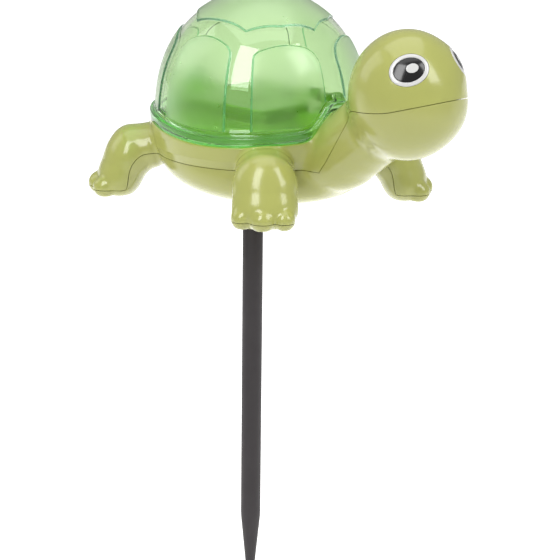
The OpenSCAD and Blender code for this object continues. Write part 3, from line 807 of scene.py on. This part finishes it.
def bump(tree, shader, height, strength):
    b = add(tree, "ShaderNodeBump")
    b.inputs["Strength"].default_value = strength
    b.inputs["Distance"].default_value = 0.0002
    tree.links.new(height, b.inputs["Height"])
    tree.links.new(b.outputs["Normal"], shader.inputs["Normal"])


def plastic(name, rgb, rough, variation=0.04, coat=0.0, grain=0.0, grain_scale=900.0):
    """Moulded plastic: a slight drift of colour and gloss over the surface, and its fine grain."""
    mat, tree, shader = material(name)
    where = coordinates(tree)
    colour(tree, shader, noise(tree, where, 28, 3), linear(rgb, 1 - variation), linear(rgb, 1 + variation))
    roughness(tree, shader, noise(tree, where, 160, 4), rough * 0.85, rough * 1.2)
    shader.inputs["Coat Weight"].default_value = coat
    shader.inputs["Coat Roughness"].default_value = 0.08
    if grain:
        bump(tree, shader, noise(tree, where, grain_scale, 4), grain)
    return mat


def metal(name, rgb, rough):
    """Plated steel with a drift of colour and polish."""
    mat, tree, shader = material(name)
    where = coordinates(tree)
    colour(tree, shader, noise(tree, where, 220, 4), linear(rgb, 0.85), linear(rgb))
    roughness(tree, shader, noise(tree, where, 500, 3), rough * 0.8, rough * 1.3)
    shader.inputs["Metallic"].default_value = 1.0
    return mat


def clear_plastic(name, tint, rough, shade=(255, 255, 255), clarity=1.0):
    """Clear tinted moulding. Light goes straight through it, tinted by shade, to what is inside."""
    mat, tree, shader = material(name)
    where = coordinates(tree)
    colour(tree, shader, noise(tree, where, 30, 2), linear(tint, 0.97), linear(tint))
    roughness(tree, shader, noise(tree, where, 240, 3), rough * 0.8, rough * 1.2)
    shader.inputs["Transmission Weight"].default_value = clarity
    shader.inputs["IOR"].default_value = 1.49
    see = add(tree, "ShaderNodeBsdfTransparent")
    see.inputs["Color"].default_value = linear(shade)
    path = add(tree, "ShaderNodeLightPath")
    surface = shader.outputs["BSDF"]
    for ray in ("Is Diffuse Ray", "Is Shadow Ray"):
        mix = add(tree, "ShaderNodeMixShader")
        tree.links.new(path.outputs[ray], mix.inputs["Fac"])
        tree.links.new(surface, mix.inputs[1])
        tree.links.new(see.outputs["BSDF"], mix.inputs[2])
        surface = mix.outputs["Shader"]
    tree.links.new(surface, tree.nodes["Material Output"].inputs["Surface"])
    return mat


def assign(obj, *mats):
    """Gives the object these materials. A new mesh isn't cleared, as that would reset which face has which."""
    if obj.data.materials:
        obj.data.materials.clear()
    for m in mats:
        obj.data.materials.append(m)


# ---------------------------------------------------------------- build
olive = plastic("olive_abs", (160, 163, 88), 0.2, 0.02, coat=0.3, grain=0.015)
olive_low = plastic("olive_abs_lower", (160, 162, 92), 0.22, 0.02, coat=0.25, grain=0.015)
charcoal = plastic("charcoal_stake", (40, 35, 37), 0.55, 0.08, grain=0.12, grain_scale=700)
eye_white = plastic("eye_white", (196, 196, 194), 0.16, 0.01, coat=0.4)
eye_black = plastic("eye_black", (12, 12, 13), 0.16, 0.05, coat=0.2)
SHADE = (202, 254, 160)                 # tint that the green shell gives what is inside
shell_channel = clear_plastic("shell_clear", (211, 229, 196), 0.02, SHADE)
# The steps' darker teal is painted shade: it stands in for the deeper, shaded green that the step walls show
# through the clear plastic.
shell_step_painted_shade = clear_plastic("shell_step_painted_shade", (122, 196, 146), 0.1, SHADE, 0.84)
shell_plate = clear_plastic("shell_plate", (218, 238, 202), 0.3, SHADE)
shell_rim = clear_plastic("shell_rim", (166, 218, 160), 0.05, SHADE, 0.95)
steel = metal("zinc_steel", (196, 198, 202), 0.3)
nickel = metal("nickel", (205, 200, 190), 0.25)
foam = plastic("white_gasket", (206, 214, 200), 0.7, 0.04)
rubber = plastic("seal_rubber", (30, 30, 31), 0.7, 0.1)
board_green = plastic("board_lacquer", (24, 84, 44), 0.35, 0.15)
chip_black = plastic("chip_black", (24, 24, 26), 0.5, 0.1)
switch_black = plastic("switch_black", (22, 22, 24), 0.42, 0.08, grain=0.1)
jacket = plastic("cell_jacket", (34, 44, 66), 0.25, 0.08, coat=0.3)
red = plastic("lead_red", (170, 24, 20), 0.4, 0.08)
black = plastic("lead_black", (18, 18, 20), 0.4, 0.1)
lens = clear_plastic("lamp_lens", (250, 246, 230), 0.05)

upper, lower = body_meshes()
assign(upper, olive)
assign(lower, olive_low)
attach(upper, "turtle")
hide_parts("upper_body")
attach(lower, "turtle")
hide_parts("lower_body")

shell = clear_shell()
assign(shell, shell_channel, shell_step_painted_shade, shell_plate, shell_rim)
for at, top, rib_z in (((37.5, 0), 14.5, 9.0), ((-28, 12), 5.4, 0.8), ((-28, -12), 5.4, 0.8)):
    piece = shell_post(at, top, rib_z)
    assign(piece, shell_channel)
    shell = join(shell, piece)
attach(shell, "turtle")
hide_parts("clear_shell")

for node, piece in eyes():
    dark = node == "eye_pupils"
    assign(piece, eye_black if dark else eye_white)
    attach(piece, "turtle")
    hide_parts(node)

point = STAKE_TIP + 36
collar, peg_r, peg_top = 1.2, 3.55, 22
stake = lathe("ground_stake", [
    (ON_AXIS, STAKE_TIP), (0.5, STAKE_TIP + 0.2), (0.9, STAKE_TIP + 1.2), (STAKE_R - 0.35, point - 1.5),
    (STAKE_R - 0.2, point), (STAKE_R - 0.1, point + 3), (STAKE_R, -40), (STAKE_R, collar - 0.3),
    (STAKE_R - 0.3, collar), (peg_r, collar), (peg_r, peg_top - 0.4), (3.2, peg_top), (ON_AXIS, peg_top)],
    sides=128)
assign(stake, charcoal)
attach(stake, "ground_stake")
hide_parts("stake")

for node, look in (("shell_gasket", foam), ("shell_screws", steel), ("body_screws", steel),
                   ("circuit_board", board_green), ("board_parts", chip_black), ("board_screws", steel),
                   ("led_lamps", lens), ("battery_cells", jacket), ("battery_springs", nickel),
                   ("spring_plate", nickel), ("bridge_plate", nickel), ("battery_door", olive_low),
                   ("door_seal", rubber), ("door_screw", steel), ("switch_case", switch_black),
                   ("switch_slider", switch_black), ("switch_screws", steel), ("red_lead", red),
                   ("black_lead", black)):
    assign(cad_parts[node], look)

# ---------------------------------------------------------------- studio
WHITE = (1, 1, 1, 1)


def floor_material():
    """Pale floor that glows behind the object as the photo's side sees it, and evenly where clear plastic is
    looked through."""
    mat, tree, shader = material("studio_floor")
    shader.inputs["Base Color"].default_value = (0.9, 0.9, 0.9, 1)
    shader.inputs["Roughness"].default_value = 0.6
    shader.inputs["Emission Color"].default_value = WHITE
    away = math.radians(135)
    along = add(tree, "ShaderNodeVectorMath", operation="DOT_PRODUCT")
    along.inputs[1].default_value = (math.cos(away), math.sin(away), 0)
    tree.links.new(coordinates(tree), along.inputs[0])
    glow = add(tree, "ShaderNodeMapRange")
    for socket, value in (("From Min", -0.3), ("From Max", 0.15), ("To Min", 0.1), ("To Max", 0.75)):
        glow.inputs[socket].default_value = value
    tree.links.new(along.outputs["Value"], glow.inputs["Value"])
    path = add(tree, "ShaderNodeLightPath")
    behind_glass = add(tree, "ShaderNodeMath", operation="MULTIPLY")
    behind_glass.inputs[1].default_value = 0.85
    tree.links.new(path.outputs["Is Transmission Ray"], behind_glass.inputs[0])
    brightest = add(tree, "ShaderNodeMath", operation="MAXIMUM")
    tree.links.new(glow.outputs["Result"], brightest.inputs[0])
    tree.links.new(behind_glass.outputs["Value"], brightest.inputs[1])
    tree.links.new(brightest.outputs["Value"], shader.inputs["Emission Strength"])
    return mat


floor_z = STAKE_TIP - 1.0
reach = 7000
corners = [(x * reach, y * reach, floor_z) for x, y in ((-1, -1), (1, -1), (1, 1), (-1, 1))]
floor = make_mesh("studio_floor", corners, [(0, 1, 2, 3)])
assign(floor, floor_material())

azimuth, elevation, roll, distance = math.radians(44.9), math.radians(14.1), math.radians(0.6), 1.6
back = Vector((math.cos(azimuth) * math.cos(elevation), -math.sin(azimuth) * math.cos(elevation),
               math.sin(elevation)))
right = Vector((0, 0, 1)).cross(back).normalized()
up = back.cross(right)
right, up = right * math.cos(roll) + up * math.sin(roll), up * math.cos(roll) - right * math.sin(roll)
camera_data = bpy.data.cameras.new("camera")
camera_data.sensor_width = 36
camera_data.lens = 228.57
camera_data.clip_start = 0.05
camera_data.clip_end = 20
camera = bpy.data.objects.new("camera", camera_data)
bpy.context.collection.objects.link(camera)
place = back * distance + right * 0.01202 + up * -0.03987 + Vector((0, 0, 0.0009))
camera.matrix_world = Matrix.Translation(place) @ Matrix((right, up, back)).transposed().to_4x4()
bpy.context.scene.camera = camera


def softbox(name, azimuth, elevation, far, width, height, power):
    """An area lamp aimed at the turtle. Angles in degrees, lengths in metres, power in watts."""
    data = bpy.data.lights.new(name, "AREA")
    data.shape = "RECTANGLE"
    data.size, data.size_y = width, height
    data.energy = power
    lamp = bpy.data.objects.new(name, data)
    bpy.context.collection.objects.link(lamp)
    a, e = math.radians(azimuth), math.radians(elevation)
    direction = Vector((math.cos(a) * math.cos(e), math.sin(a) * math.cos(e), math.sin(e)))
    lamp.location = Vector((0.03, 0, 0.05)) + direction * far
    lamp.rotation_euler = direction.to_track_quat("Z", "Y").to_euler()


softbox("key", -71, 39, 1.1, 0.4, 0.86, 7.3)
softbox("fill", 14, 36, 1.2, 0.42, 0.85, 6)
softbox("side", -150, 30, 1.2, 0.6, 0.8, 2)
softbox("top", 150, 84, 1.2, 1.2, 1.2, 6)

# White to look at, directly or through clear plastic, and softer as a light
world = bpy.data.worlds.new("studio_world")
bpy.context.scene.world = world
world.use_nodes = True
links = world.node_tree.links
sky = world.node_tree.nodes["Background"]
sky.inputs["Color"].default_value = WHITE
path = add(world.node_tree, "ShaderNodeLightPath")
seen = add(world.node_tree, "ShaderNodeMath", operation="ADD")
links.new(path.outputs["Is Transmission Ray"], seen.inputs[0])
links.new(path.outputs["Is Camera Ray"], seen.inputs[1])
strength = add(world.node_tree, "ShaderNodeMapRange")
strength.inputs["To Min"].default_value = 0.42
strength.inputs["To Max"].default_value = 1.0
links.new(seen.outputs["Value"], strength.inputs["Value"])
links.new(strength.outputs["Result"], sky.inputs["Strength"])
bpy.context.scene.view_settings.view_transform = "Standard"
